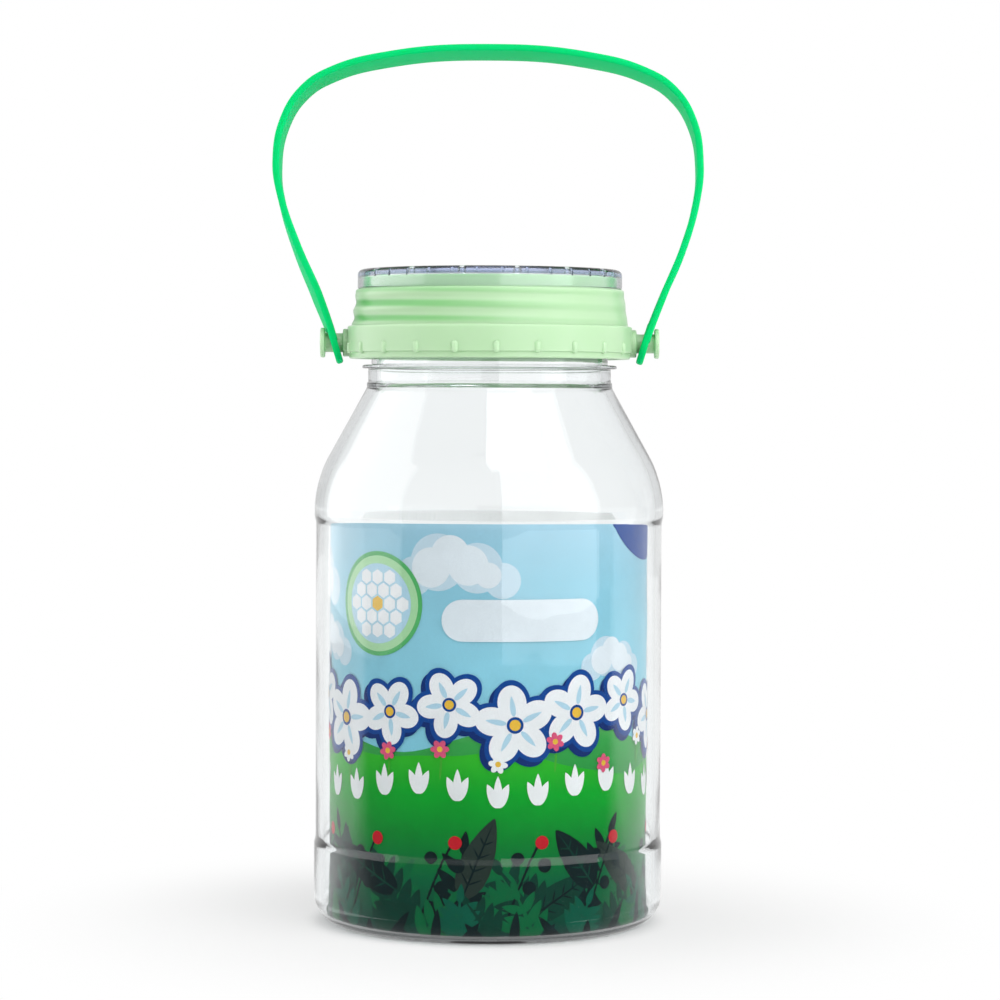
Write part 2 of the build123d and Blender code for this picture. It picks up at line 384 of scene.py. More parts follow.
hill_stops = [
    (4, (2, 66, 56)),
    (18, (0, 104, 62)),
    (30, (0, 140, 48)),
    (42, (0, 172, 44)),
    (54, (56, 192, 40)),
    (62, (136, 212, 56)),
]
back_stops = [(40, (20, 142, 60)), (56, (60, 170, 80)), (68, (128, 204, 120))]
ink_names = list(inks)
print_inks = [ink_on_card(name + " ink", colour) for name, colour in inks.items()]
print_inks.append(ink_on_card("far hill ink", stops=back_stops))
print_inks.append(ink_on_card("near hill ink", stops=hill_stops))
ink_names += ["far hill", "near hill"]
motifs = bmesh.new()
around = 2 * pi * card_radius
layer_lift = 0.03
layer_slots = 24  # each shape of a layer lies one slot above the one before it
layer_count = 16
stacked = [0] * layer_count  # the slot that each layer has come to
trim = 0.05  # from the card's edges to the print


def print_shape(made, ink, layer):
    """Gives a flat shape its ink, and lifts it a hair above the layers and shapes under it."""
    stacked[layer] = (stacked[layer] + 1) % (layer_slots - 1)
    for vert in made:
        vert.co.y = -(layer + stacked[layer] / layer_slots) * layer_lift
    for face in {face for vert in made for face in vert.link_faces}:
        face.material_index = ink_names.index(ink)


def spot(along, height, radius, ink, layer, stretch=1.0, turn=0.0, sides=28):
    """A round or oval spot. Stretch is its height over its width, turn is in degrees."""
    place = (
        Matrix.Translation((along, 0, height)) @ Matrix.Rotation(radians(turn), 4, "Y")
        @ Matrix.Diagonal((1, 1, stretch, 1)) @ Matrix.Rotation(radians(90), 4, "X")
    )
    made = bmesh.ops.create_circle(
        motifs, cap_ends=True, segments=sides, radius=radius, matrix=place
    )["verts"]
    print_shape(made, ink, layer)


def leaf(along, height, length, width, turn, ink, layer):
    """A pointed leaf with its foot at the given place, standing up when turn is nothing."""
    made = bmesh.ops.create_circle(
        motifs, cap_ends=True, segments=20, radius=1, matrix=Matrix.Rotation(radians(90), 4, "X")
    )["verts"]
    set_down = Matrix.Translation((along, 0, height)) @ Matrix.Rotation(radians(turn), 4, "Y")
    for vert in made:
        up = (vert.co.z + 1) / 2
        across = vert.co.x * width / 2 * (1 - up) ** 0.35 * 1.15
        vert.co = set_down @ Vector((across, 0, up * length))
    print_shape(made, ink, layer)


def toward(along, height, reach, turn):
    """The place at a reach from another. Turn is in degrees from straight up."""
    return along + reach * sin(radians(turn)), height + reach * cos(radians(turn))


def hill(base, swells, ink, layer):
    """Rolling ground right round the card: swells are (waves round the card, height, start)."""
    columns = 96
    foot = [
        motifs.verts.new((around * (column / columns - 0.5), 0, card_bottom + trim))
        for column in range(columns + 1)
    ]
    rows = bmesh.ops.extrude_edge_only(
        motifs, edges=[motifs.edges.new(pair) for pair in zip(foot, foot[1:])]
    )["geom"]
    crest = [part for part in rows if isinstance(part, bmesh.types.BMVert)]
    for vert in crest:
        angle = vert.co.x / card_radius
        swell = sum(height * sin(waves * angle + start) for waves, height, start in swells)
        vert.co.z = base + swell
    print_shape(foot + crest, ink, layer)


# Clouds, two deep-blue discs that the top edge cuts, and the two hills behind everything else
cloud_puffs = (  # across, up, radius, ink
    (-13, -2, 5.5, "haze"),
    (12, -3, 5.0, "haze"),
    (-6, 2, 8, "haze"),
    (5, 0.5, 7, "haze"),
    (-8, 0.5, 5.6, "cloud"),
    (2.5, 1.2, 5.6, "cloud"),
    (-2.5, 4.2, 5.4, "cloud"),
    (8, -1.5, 3.6, "cloud"),
)
for along, height, size in (
    (-70, 101, 1.1),
    (-58, 82, 0.8),
    (-8, 104, 1.0),
    (40, 78, 0.7),
    (84, 98, 1.1),
    (112, 84, 0.9),
    (140, 104, 0.7),
):
    for across, up, radius, ink in cloud_puffs:
        layer = 1 if ink == "haze" else 2
        spot(along + across * size, height + up * size, radius * size, ink, layer)
for along in (58, -112):
    spot(along, 128, 22.5, "deep blue", 3, sides=64)
hill(57, [(3, 3.2, 0.4), (7, 1.0, 2.0)], "far hill", 3)
hill(50, [(2, 3.4, 2.2), (5, 1.4, 0.7), (11, 0.4, 0.0)], "near hill", 4)

# A round window with honeycomb cells, and a bare banner, once on each side of the card
window_height = 94
cell_radius, cell_across, cell_up, cells_within = 2.15, 4.3, 3.7, 9.2
banner_height, banner_half_length, banner_half_width = 90, 17, 5.8
for start in (-33, 114):
    for radius, ink, layer in (
        (14.6, "ring green", 5), (13.4, "pale green", 6), (11.2, "pale blue", 7)
    ):
        spot(start, window_height, radius, ink, layer, sides=48)
    for row in range(-2, 3):
        for column in range(-2, 3):
            across = (column + (row % 2) / 2) * cell_across
            if (across**2 + (row * cell_up) ** 2) ** 0.5 < cells_within:
                ink = "sun yellow" if (row, column) == (0, 0) else "bare white"
                spot(start + across, window_height + row * cell_up, cell_radius, ink, 8, sides=6)
    banner = start + 43
    for end in (-banner_half_length, banner_half_length):
        spot(banner + end, banner_height, banner_half_width, "cloud", 7)
    flat = bmesh.ops.create_grid(
        motifs, x_segments=17, y_segments=1, size=1,
        matrix=Matrix.Translation((banner, 0, banner_height)) @ Matrix.Rotation(radians(90), 4, "X")
        @ Matrix.Diagonal((banner_half_length, banner_half_width, 1, 1)),
    )["verts"]
    print_shape(flat, "cloud", 8)

# A garland of big white blossoms with blue outlines and a blue shade on their lower left
blossom_count, petal_count = 16, 5
for number in range(blossom_count):
    along = around * (number / blossom_count - 0.474)
    height = 64 + 3.2 * sin(number * 2.1)
    size = 1.0 + 0.12 * sin(number * 1.7)
    turns = [360 // petal_count * petal + 17 * number for petal in range(petal_count)]
    for drop, outset, ink, layer in (
        (1.3, 1.2, "shadow blue", 9), (0, 1.2, "deep blue", 10), (0, 0, "bare white", 11)
    ):
        for turn in turns:
            petal = toward(along - drop, height - drop, 5.6 * size, turn)
            spot(*petal, 3.6 * size + outset, ink, layer, stretch=1.25, turn=turn)
        spot(along - drop, height - drop, 3.4 * size + outset, ink, layer)
    for turn in turns:
        leaf(*toward(along, height, 2.2 * size, turn), 5.2 * size, 1.6, turn, "pale blue", 12)
    spot(along, height, 2.1 * size, "deep blue", 13)
    spot(along, height, 1.4 * size, "sun yellow", 14)

# A row of white buds, and small flowers on stems
bud_count, flower_count, flower_petals = 26, 18, 6
for number in range(bud_count):
    along = around * (number / bud_count - 0.49)
    height = 40 + 1.8 * sin(number * 1.3)
    leaf(along, height, 7.2, 3.0, -24, "bare white", 9)
    leaf(along, height, 7.2, 3.0, 24, "bare white", 9)
    leaf(along, height + 0.4, 8.4, 2.6, 0, "bare white", 10)
for number in range(flower_count):
    along = around * (number / flower_count - 0.49)
    height = 53 + 3.5 * sin(number * 2.7)
    ink = "pink" if number % 3 else "bare white"
    leaf(along, height - 8.5, 8, 0.7, 4, "light leaf", 7)
    for petal in range(flower_petals):
        turn = 360 // flower_petals * petal + 11 * number
        spot(*toward(along, height, 1.5, turn), 0.85, ink, 14, stretch=1.4, turn=turn, sides=12)
    spot(along, height, 0.8, "sun yellow", 15, sides=12)


def sprig(along, height, length, turn, pairs, size, ink, layer):
    """A stem with pairs of leaves that get smaller towards its tip."""
    leaf(along, height, length, size * 0.16, turn, ink, layer)
    for pair in range(pairs + 1):
        share = (pair + 0.6) / (pairs + 0.6)
        foot = toward(along, height, length * share * 0.8, turn)
        smaller = 1.15 - 0.45 * share
        for side in (-1, 1) if pair < pairs else (0,):
            leaf(*foot, size * smaller, size * 0.42 * smaller, turn + 52 * side, ink, layer)


def broad_leaf(along, height, length, width, turn, ink, vein, layer):
    """A broad pointed leaf with its midrib and side veins."""
    leaf(along, height, length, width, turn, ink, layer)
    leaf(along, height, length * 0.94, width * 0.07, turn, vein, layer + 1)
    for step in range(1, 5):
        share = step / 6
        foot = toward(along, height, length * share, turn)
        for side in (-1, 1):
            branch = turn + 48 * side
            leaf(*foot, width * (0.5 - 0.3 * share), width * 0.05, branch, vein, layer + 1)


# Dark foliage in front: sprigs, broad leaves, berries on arching stems, and grass at the foot
sprig_count, broad_count, berry_count, front_count, grass_count = 24, 15, 12, 26, 40
broad_inks = (  # leaf, veins
    ("night leaf", "shade leaf"), ("plum leaf", "night leaf"), ("shade leaf", "night leaf")
)
berries = (  # across, up, ink
    (5.8, 16, "night leaf"),
    (10.2, 22, "night leaf"),
    (9.4, 28.5, "berry red"),
    (2.6, 24, "night leaf"),
)
for number in range(sprig_count):
    along = around * (number / sprig_count - 0.49)
    ink = ("leaf", "shade leaf", "night leaf")[number % 3]
    length, turn = 24 + 6 * sin(number * 1.9), 38 * sin(number * 2.3)
    sprig(along, 5 + 3 * sin(number), length, turn, 4, 9.5, ink, 5)
for number in range(broad_count):
    along = around * (number / broad_count - 0.49)
    ink, vein = broad_inks[number % 3]
    height, length = 12 + 4 * sin(number * 2.2), 23 + 3 * sin(number * 1.3)
    broad_leaf(along, height, length, 9.5, 66 * sin(number * 1.7 + 1), ink, vein, 6)
for number in range(berry_count):
    along = around * (number / berry_count - 0.48)
    for step in range(9):
        height = 8 + step * 2.6 - step**2 * 0.05
        leaf(along + step * 0.9, height, 3.9, 0.75, 19 + step * 1.2, "night leaf", 8)
    for across, up, ink in berries:
        spot(along + across, up, 1.9, ink, 9)
for number in range(front_count):
    along = around * (number / front_count - 0.49)
    ink = ("teal leaf", "shade leaf", "leaf")[number % 3]
    length, turn = 15 + 5 * sin(number * 2.9), 40 * sin(number * 1.3)
    sprig(along, 1, length, turn, 3, 7.6, ink, 10)
for number in range(grass_count):
    along = around * (number / grass_count - 0.5)
    leaf(along, 0, 9 + 4 * sin(number * 3.3), 3.0, 46 * sin(number * 2.1), "night leaf", 11)


def cut_print(place, normal, **side):
    """Cuts all the print's shapes along a plane, and drops the side of it that is named."""
    geometry = motifs.verts[:] + motifs.edges[:] + motifs.faces[:]
    bmesh.ops.bisect_plane(
        motifs, geom=geometry, dist=1e-4, plane_co=place, plane_no=normal, **side
    )


def on_card(turn, reach, height):
    """A place in metres from a turn round the card in radians, and a reach and a height."""
    return Vector((reach * sin(turn), -reach * cos(turn), height))


# Trimmed at the card's edges, cut at its facets and laid on them, so that no shape bulges
# through the next. Banner and clouds reach past the seam on one side and go on round it.
cut_print((0, 0, card_top - trim), (0, 0, 1), clear_outer=True)
cut_print((0, 0, card_bottom + trim), (0, 0, 1), clear_inner=True)
bmesh.ops.triangulate(motifs, faces=[face for face in motifs.faces if len(face.verts) > 4])
for step in range(-card_steps // 2 - 8, card_steps // 2 + 19):
    cut_print((around * step / card_steps, 0, 0), (1, 0, 0))
for vert in motifs.verts:
    facet = floor(vert.co.x / around * card_steps)
    share = vert.co.x / around * card_steps - facet
    reach = (card_radius - vert.co.y) / 1000
    first, second = [
        on_card(2 * pi * step / card_steps, reach, vert.co.z / 1000) for step in (facet, facet + 1)
    ]
    vert.co = first.lerp(second, share)
for face in motifs.faces:
    if face.normal.xy.dot(face.calc_center_median().xy) < 0:
        face.normal_flip()
piece("sleeve_print", motifs, print_inks, "jar")

# Seal washer. A ring die-cut from white closed-cell foam. It lies loose between the jar's lip
# and the ring's ceiling, and seals the jar when the ring is screwed down.
foam_white, tree = new_material("white foam")
place = node(tree, "TexCoord")
cells = node(tree, "TexVoronoi", Scale=1800.0)
bump = node(tree, "Bump", Strength=0.6, Distance=0.0001)
skin = node(
    tree, "BsdfPrincipled", Base_Color=linear(232, 236, 230), Roughness=0.8, Subsurface_Weight=0.3,
    Subsurface_Scale=0.001,
)
output = node(tree, "OutputMaterial")
wire(tree, place, "Object", cells, "Vector")
wire(tree, cells, "Distance", bump, "Height")
wire(tree, bump, "Normal", skin, "Normal")
wire(tree, skin, "BSDF", output, "Surface")
foam_corners = [
    (31.2, 179.1, 0.25),
    (35.0, 179.1, 0.25),
    (35.0, 180.3, 0.25),
    (31.2, 180.3, 0.25),
]
foam = turned(foam_corners, steps=128, closed=True)
foam_ring = piece("foam_ring", foam, [foam_white], "seal")
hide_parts("seal_washer")

# Screw ring. Moulded in pale-green translucent polypropylene: a ribbed skirt, a tapered wall
# that shows the thread inside as slanting waves, and a pin with a dished head on each side.
ring_corners = [
    (38.6, 162.4, 0.2),
    (40.5, 162.4, 0.5),
    (40.5, 164.3, 0.15),
    (41.0, 164.3, 0.15),
    (41.0, 171.8, 0.5),
    (39.9, 171.8, 0.3),
    (38.6, 182.3, 0.6),
    (36.4, 182.3, 0.1),
    (36.4, 185.7, 0.4),
    (34.8, 185.7, 0.4),
    (34.8, 182.3, 0.1),
    (30.0, 182.3, 0.3),
    (30.0, 180.4, 0.3),
    (35.8, 180.4, 0.2),
    (35.8, 171.8, 0.2),
    (38.6, 169.0, 0.5),
]
wall_radius = 39.3  # the middle of its tapered wall
skin_from = 38.0  # beyond this radius lies the wall's outer skin
wave_foot, wave_head = 172.1, 181.7
wave_pitch = 4.35
wave_depth = 0.55
wave_start = 174.0
wave_run_in = 1.2  # the height over which the waves grow from nothing at each end
rib_count = 22
rib_start = 2.8  # degrees from the front
rib_gap = 0.125  # the sine within which the pins' bosses stand and no rib does
# A rib is a half-sunk ball, and its lower half is drawn down by its tail
rib_reach, rib_height, rib_radius, rib_tail = 40.6, 166.3, 1.0, 1.6
pin_height = 167.0
boss_radius, boss_end = 4.0, 42.3
pin_radius = 2.75
head_radius, head_start, head_end = 4.3, 47.529, 48.829
dish_radius, dish_depth = 3.2, 0.4

# Painted shade: slanting bands of deeper green that follow the jar's thread, for its shadow
# in the ring's thin wall. They are painted strongest on the ring's left side, which gets less
# light.
painted_thread_shade = bpy.data.node_groups.new("painted thread shade", "ShaderNodeTree")
painted_thread_shade.interface.new_socket("Strength", in_out="INPUT", socket_type="NodeSocketFloat")
painted_thread_shade.interface.new_socket("Mask", in_out="OUTPUT", socket_type="NodeSocketFloat")
into = painted_thread_shade.nodes.new("NodeGroupInput")
out = painted_thread_shade.nodes.new("NodeGroupOutput")
place = node(painted_thread_shade, "TexCoord")
split = node(painted_thread_shade, "SeparateXYZ")
sweep = node(painted_thread_shade, "Math", operation="ARCTAN2")
phase = node(painted_thread_shade, "Math", operation="MULTIPLY_ADD")
phase.inputs[1].default_value = 2 * pi / wave_pitch * 1000
phase.inputs[2].default_value = -2 * pi * wave_start / wave_pitch
slant = node(painted_thread_shade, "Math", operation="ADD")
swing = node(painted_thread_shade, "Math", operation="COSINE")
valley = remap(painted_thread_shade, 0.6, -1.0, 0.0, 1.0, "SMOOTHSTEP")
# Painted shade: the bands are at full strength on the left and fall to 0.12 on the right.
left_shade = remap(painted_thread_shade, -0.041, 0.03, 1.0, 0.12, "SMOOTHSTEP")
foot = remap(painted_thread_shade, 0.1716, 0.1735, 0.0, 1.0, "SMOOTHSTEP")
top = remap(painted_thread_shade, 0.1805, 0.1822, 1.0, 0.4, "SMOOTHSTEP")
wire(painted_thread_shade, place, "Object", split, "Vector")
wire(painted_thread_shade, split, "Y", sweep, 0)
wire(painted_thread_shade, split, "X", sweep, 1)
wire(painted_thread_shade, split, "Z", phase, 0)
wire(painted_thread_shade, phase, "Value", slant, 0)
wire(painted_thread_shade, sweep, "Value", slant, 1)
wire(painted_thread_shade, slant, "Value", swing, 0)
wire(painted_thread_shade, swing, "Value", valley, "Value")
wire(painted_thread_shade, split, "X", left_shade, "Value")
wire(painted_thread_shade, split, "Z", foot, "Value")
wire(painted_thread_shade, split, "Z", top, "Value")
product, result = valley, "Result"
for factor, output in (
    (left_shade, "Result"), (foot, "Result"), (top, "Result"), (into, "Strength")
):
    share = node(painted_thread_shade, "Math", operation="MULTIPLY")
    wire(painted_thread_shade, product, result, share, 0)
    wire(painted_thread_shade, factor, output, share, 1)
    product, result = share, "Value"
wire(painted_thread_shade, product, result, out, "Mask")


def milky_plastic(
    name, colour, shade, depth, sunk, roughness, gloss, wave_height, thread_shade_colour=None
):
    """Translucent moulded plastic: light sinks in, and the colour drifts a little. Given a
    thread shade colour, it also gets painted shade bands that follow the jar's thread."""
    material, tree = new_material(name)
    marks = node(
        tree, "Group", node_tree=surface_marks, Wave_Scale=110.0, Roughness=roughness, Scuffs=0.08
    )
    place = node(tree, "TexCoord")
    drift = node(tree, "TexNoise", Scale=38.0, Detail=3.0)
    blend = node(tree, "MixRGB", Color1=linear(*colour), Color2=linear(*shade))
    bump = node(tree, "Bump", Strength=0.5, Distance=wave_height)
    skin = node(
        tree, "BsdfPrincipled", Subsurface_Weight=sunk, Subsurface_Radius=(1.0, 1.0, 1.0),
        Subsurface_Scale=depth, IOR=1.49, Specular_IOR_Level=gloss,
    )
    output = node(tree, "OutputMaterial")
    wire(tree, place, "Object", drift, "Vector")
    wire(tree, drift, "Fac", blend, "Fac")
    # Painted shade: bands of the jar's thread, in the given darker green.
    if thread_shade_colour:
        bands = node(tree, "Group", node_tree=painted_thread_shade, Strength=0.9)
        deeper = node(tree, "MixRGB", Color2=linear(*thread_shade_colour))
        wire(tree, bands, "Mask", deeper, "Fac")
        wire(tree, blend, "Color", deeper, "Color1")
        blend = deeper
    wire(tree, blend, "Color", skin, "Base Color")
    wire(tree, marks, "Roughness", skin, "Roughness")
    wire(tree, marks, "Height", bump, "Height")
    wire(tree, bump, "Normal", skin, "Normal")
    wire(tree, skin, "BSDF", output, "Surface")
    return material


def evaluated_mesh(source):
    """A mesh of its own from an object as its modifiers and curves leave it."""
    bpy.context.view_layer.update()
    seen = source.evaluated_get(bpy.context.evaluated_depsgraph_get())
    return bpy.data.meshes.new_from_object(seen)


def carve(made, tools, operation):
    """Joins bmesh tools to a piece, or cuts them from it, as one skin without loose seams."""
    combined = bmesh.new()
    for tool in tools:
        passing = bpy.data.meshes.new("tool")
        tool.to_mesh(passing)
        tool.free()
        combined.from_mesh(passing)
        bpy.data.meshes.remove(passing)
    tool_mesh = bpy.data.meshes.new("tools")
    combined.to_mesh(tool_mesh)
    combined.free()
    cutter = bpy.data.objects.new("tools", tool_mesh)
    bpy.context.scene.collection.objects.link(cutter)
    step = made.modifiers.new("tools", "BOOLEAN")
    step.operation = operation
    step.solver = "EXACT"
    step.object = cutter
    carved = evaluated_mesh(made)
    made.modifiers.clear()
    made.data = carved
    weld_distance = 1e-6
    welded = bmesh.new()
    welded.from_mesh(carved)
    bmesh.ops.remove_doubles(welded, verts=welded.verts, dist=weld_distance)
    bmesh.ops.dissolve_degenerate(welded, edges=welded.edges, dist=weld_distance)
    bmesh.ops.triangulate(welded, faces=[face for face in welded.faces if len(face.verts) > 4])
    welded.to_mesh(carved)
    welded.free()
    carved.shade_smooth()
    carved.set_sharp_from_angle(angle=radians(40))
    bpy.data.objects.remove(cutter)


# The darker green (86, 176, 84) is painted shade for the jar's thread behind the ring's wall.
pale_green = milky_plastic(
    "pale green plastic", colour=(182, 212, 176), shade=(170, 206, 162), depth=0.003, sunk=0.7,
    roughness=0.3, gloss=0.5, wave_height=0.00004, thread_shade_colour=(86, 176, 84),
)
wall_run = (wave_foot - 0.1, wave_head + 0.1, wall_radius, 26)
ring = turned(ring_corners, steps=220, closed=True, rows=[wall_run])
for vert in ring.verts:
    height = vert.co.z * 1000
    if wave_foot < height < wave_head and vert.co.xy.length * 1000 > skin_from:
        turns = vert.co.xy.angle_signed(Vector((1, 0))) / (2 * pi)
        wave = 0.5 - 0.5 * cos(2 * pi * ((height - wave_start) / wave_pitch - turns))
        ends = min(1, min(height - wave_foot, wave_head - height) / wave_run_in)
        shallower = 0.65 - 0.35 * vert.co.x / vert.co.xy.length
        shrunk = 1 - wave_depth * wave * ends * shallower / wall_radius
        vert.co.x *= shrunk
        vert.co.y *= shrunk
ribs = bmesh.new()
for rib in range(rib_count):
    bearing = 2 * pi * rib / rib_count + radians(rib_start - 90)
    if abs(sin(bearing)) < rib_gap:
        continue
    set_out = Matrix.Translation((rib_reach / 1000, 0, rib_height / 1000))
    made = bmesh.ops.create_uvsphere(
        ribs, u_segments=20, v_segments=11, radius=rib_radius / 1000,
        matrix=Matrix.Rotation(bearing, 4, "Z") @ set_out,
    )["verts"]
    for vert in made:
        if vert.co.z < rib_height / 1000:
            vert.co.z -= rib_tail / 1000
pin_corners = [  # from the ring's wall outwards: a boss, the pin, and its head with a dished face
    (0, 36, 0),
    (boss_radius, 36, 0),
    (boss_radius, boss_end, 0.35),
    (pin_radius, boss_end, 0.2),
    (pin_radius, head_start, 0.2),
    (head_radius, head_start, 0.35),
    (head_radius, head_end, 0.35),
    (dish_radius, head_end, 0.2),
    (dish_radius, head_end - dish_depth, 0.2),
    (0, head_end - dish_depth, 0),
]
added = [ribs]
for side in (1, -1):
    pin = turned(pin_corners, steps=64, closed=False)
    lay_down = (
        Matrix.Translation((0, 0, pin_height / 1000)) @ Matrix.Rotation(side * pi / 2, 4, "Y")
    )
    bmesh.ops.transform(pin, verts=pin.verts, matrix=lay_down)
    added.append(pin)
green_ring = piece("green_ring", ring, [pale_green], "ring", sharp=40)
carve(green_ring, added, "UNION")
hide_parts("screw_ring")

# Magnifier cap. One clear moulding that snaps over the ring's collar: a plate that swells
# into a lens, with a circle of breathing holes round it and fine notches in its rim.
cap_corners = [
    (0, 189.2, 0),
    (13.0, 189.2, 281),
    (26.0, 188.0, 2.0),
    (38.1, 188.0, 1.5),
    (38.1, 182.5, 0.3),
    (36.5, 182.5, 0.2),
    (36.5, 186.0, 0.4),
    (26.0, 186.0, 2.0),
    (13.0, 183.4, 130),
    (0, 183.4, 0),
]
notch_count, notch_reach, notch_radius, notch_length = 34, 38.15, 0.5, 3
hole_count, hole_reach, hole_radius, hole_length = 14, 33.3, 1.15, 6
drill_height = 187.0
clear_cap = clear_plastic(
    "clear cap plastic", tint=linear(250, 252, 255), ior=1.5, absorbed=linear(120, 158, 226),
    density=11.0, roughness=0.02, wave_scale=60.0, wave_height=0.00004, satin_from=0.0368,
)
cap = turned(cap_corners, steps=224, closed=False)
magnifier = piece("magnifier", cap, [clear_cap], "cap", sharp=40)
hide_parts("magnifier_cap")
drills = bmesh.new()
for count, reach, radius, length, sides in (
    (notch_count, notch_reach, notch_radius, notch_length, 12),
    (hole_count, hole_reach, hole_radius, hole_length, 32),
):
    for number in range(count):
        angle = 2 * pi * number / count
        place = (reach / 1000 * cos(angle), reach / 1000 * sin(angle), drill_height / 1000)
        bmesh.ops.create_cone(
            drills, cap_ends=True, segments=sides, radius1=radius / 1000, radius2=radius / 1000,
            depth=length / 1000, matrix=Matrix.Translation(place),
        )
carve(magnifier, [drills], "DIFFERENCE")

# Carry handle. A flat strip of bright-green polypropylene, bowed out wide and over the jar.
# The eye at each of its ends is pressed over a pin's head, and turns on the pin.
bright_green = milky_plastic(
    "bright green plastic", colour=(0, 203, 118), shade=(0, 195, 106), depth=0.0015, sunk=0.8,
    roughness=0.5, gloss=0.04, wave_height=0.00003,
)
strip_width, strip_thickness, strip_edge = 12.5, 2.0, 0.7
eye_reach, eye_bore = 44.869, 2.83
eye_slope = 17.0  # degrees outwards from upright
eye_straight = 4.4  # the strip leaves its eyes straight for about this length
widest, rise = 61.35, 86.15
lean = 9.0  # degrees back from upright
# Right side of the strip's path as shares, of the way from eye to widest place and of the rise,
# and the twist of the strip there on the left and on the right, in degrees.
strip_path = [
    (0.0, 0.0, -2.0, 2.5),
    (0.304, 0.156, -6.5, 2.0),
    (0.664, 0.319, -3.5, 0.5),
    (0.928, 0.485, -0.5, -0.5),
    (1.0, 0.6, 1.0, -1.0),
    (0.872, 0.755, 0.5, -0.5),
    (0.520, 0.862, 0.0, 0.0),
    (0.066, 0.919, 0.0, 0.0),
]
crown_share = (0.482, 0.973)
top_drift = 0.6  # the strip's upper part leans this far to the left


def round_off(bm, parts, kind):
    """Rounds the named edges or corners of part of the strip by its edge radius."""
    bmesh.ops.bevel(
        bm, geom=parts, offset=strip_edge, offset_type="OFFSET", segments=4, profile=0.5,
        affect=kind, material=-1,
    )


def strip_mesh():
    """The strip in its own plane: a flat section with round edges, carried along its path."""
    section = bmesh.new()
    bmesh.ops.create_grid(
        section, x_segments=1, y_segments=1, size=0.5,
        matrix=Matrix.Diagonal((strip_thickness, strip_width, 1, 1)),
    )
    round_off(section, section.verts[:], "VERTICES")
    ring_of = section.faces[:][0].verts[:]
    outline = bpy.data.curves.new("strip section", "CURVE")
    line = outline.splines.new("POLY")
    line.points.add(len(ring_of) - 1)
    for point, vert in zip(line.points, ring_of):
        point.co = (*vert.co, 1)
    line.use_cyclic_u = True
    section.free()
    carried = bpy.data.objects.new("strip section", outline)
    bpy.context.scene.collection.objects.link(carried)
    swell = widest - eye_reach
    right = [(eye_reach + out * swell, up * rise, tilt) for out, up, _, tilt in strip_path]
    left = [(-eye_reach - out * swell, up * rise, tilt) for out, up, tilt, _ in strip_path]
    crown = [(side * crown_share[0] * widest, crown_share[1] * rise, 0) for side in (1, -1)]
    stops = right + [crown[0], (0, rise, 0), crown[1]] + left[::-1]
    curve = bpy.data.curves.new("strip path", "CURVE")
    curve.dimensions = "3D"
    curve.twist_mode = "MINIMUM"
    curve.resolution_u = 14
    run = curve.splines.new("BEZIER")
    run.bezier_points.add(len(stops) - 1)
    for point, (x, y, tilt) in zip(run.bezier_points, stops):
        drift = top_drift * min(1, max(0, (y / rise - 0.3) / 0.3))
        point.co = (x - drift, y, 0)
        point.tilt = radians(tilt)
        point.handle_left_type = point.handle_right_type = "AUTO"
    for point, reach in ((run.bezier_points[0], 1), (run.bezier_points[-1], -1)):
        along = Vector((reach * sin(radians(eye_slope)), cos(radians(eye_slope)), 0)) * eye_straight
        point.handle_left_type = point.handle_right_type = "FREE"
        point.handle_right = point.co + along * reach
        point.handle_left = point.co - along * reach
    curve.bevel_mode = "OBJECT"
    curve.bevel_object = carried
    curve.use_fill_caps = True
    path = bpy.data.objects.new("strip path", curve)
    bpy.context.scene.collection.objects.link(path)
    swept = evaluated_mesh(path)
    strip = bmesh.new()
    strip.from_mesh(swept)
    for done in (path, carried):
        bpy.data.objects.remove(done)
    return strip


strip = strip_mesh()
bmesh.ops.remove_doubles(strip, verts=strip.verts, dist=1e-5)
bmesh.ops.recalc_face_normals(strip, faces=strip.faces)
eyes, bores = [], []
lie_across = Matrix.Rotation(radians(90), 4, "Y")
for side in (1, -1):
    set_in = Matrix.Translation((side * eye_reach, 0, 0))
    eye = bmesh.new()
    bmesh.ops.create_cone(
        eye, cap_ends=True, segments=64, radius1=strip_width / 2, radius2=strip_width / 2,
        depth=strip_thickness,
        matrix=set_in @ Matrix.Rotation(side * radians(-eye_slope), 4, "Z") @ lie_across,
    )
    rims = [edge for edge in eye.edges if len({len(face.verts) for face in edge.link_faces}) > 1]
    round_off(eye, rims, "EDGES")
    eyes.append(eye)
    bore = bmesh.new()
    bmesh.ops.create_cone(
        bore, cap_ends=True, segments=48, radius1=eye_bore, radius2=eye_bore,
        depth=4 * strip_thickness,
        matrix=set_in @ lie_across,
    )
    bores.append(bore)
stand_up = (
    Matrix.Translation((0, 0, pin_height / 1000)) @ Matrix.Rotation(radians(90 - lean), 4, "X")
    @ Matrix.Scale(0.001, 4)
)
for part in [strip] + eyes + bores:
    bmesh.ops.transform(part, verts=part.verts, matrix=stand_up)
handle = piece("strip_handle", strip, [bright_green], "handle", sharp=40)
carve(handle, eyes, "UNION")
carve(handle, bores, "DIFFERENCE")
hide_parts("carry_handle")

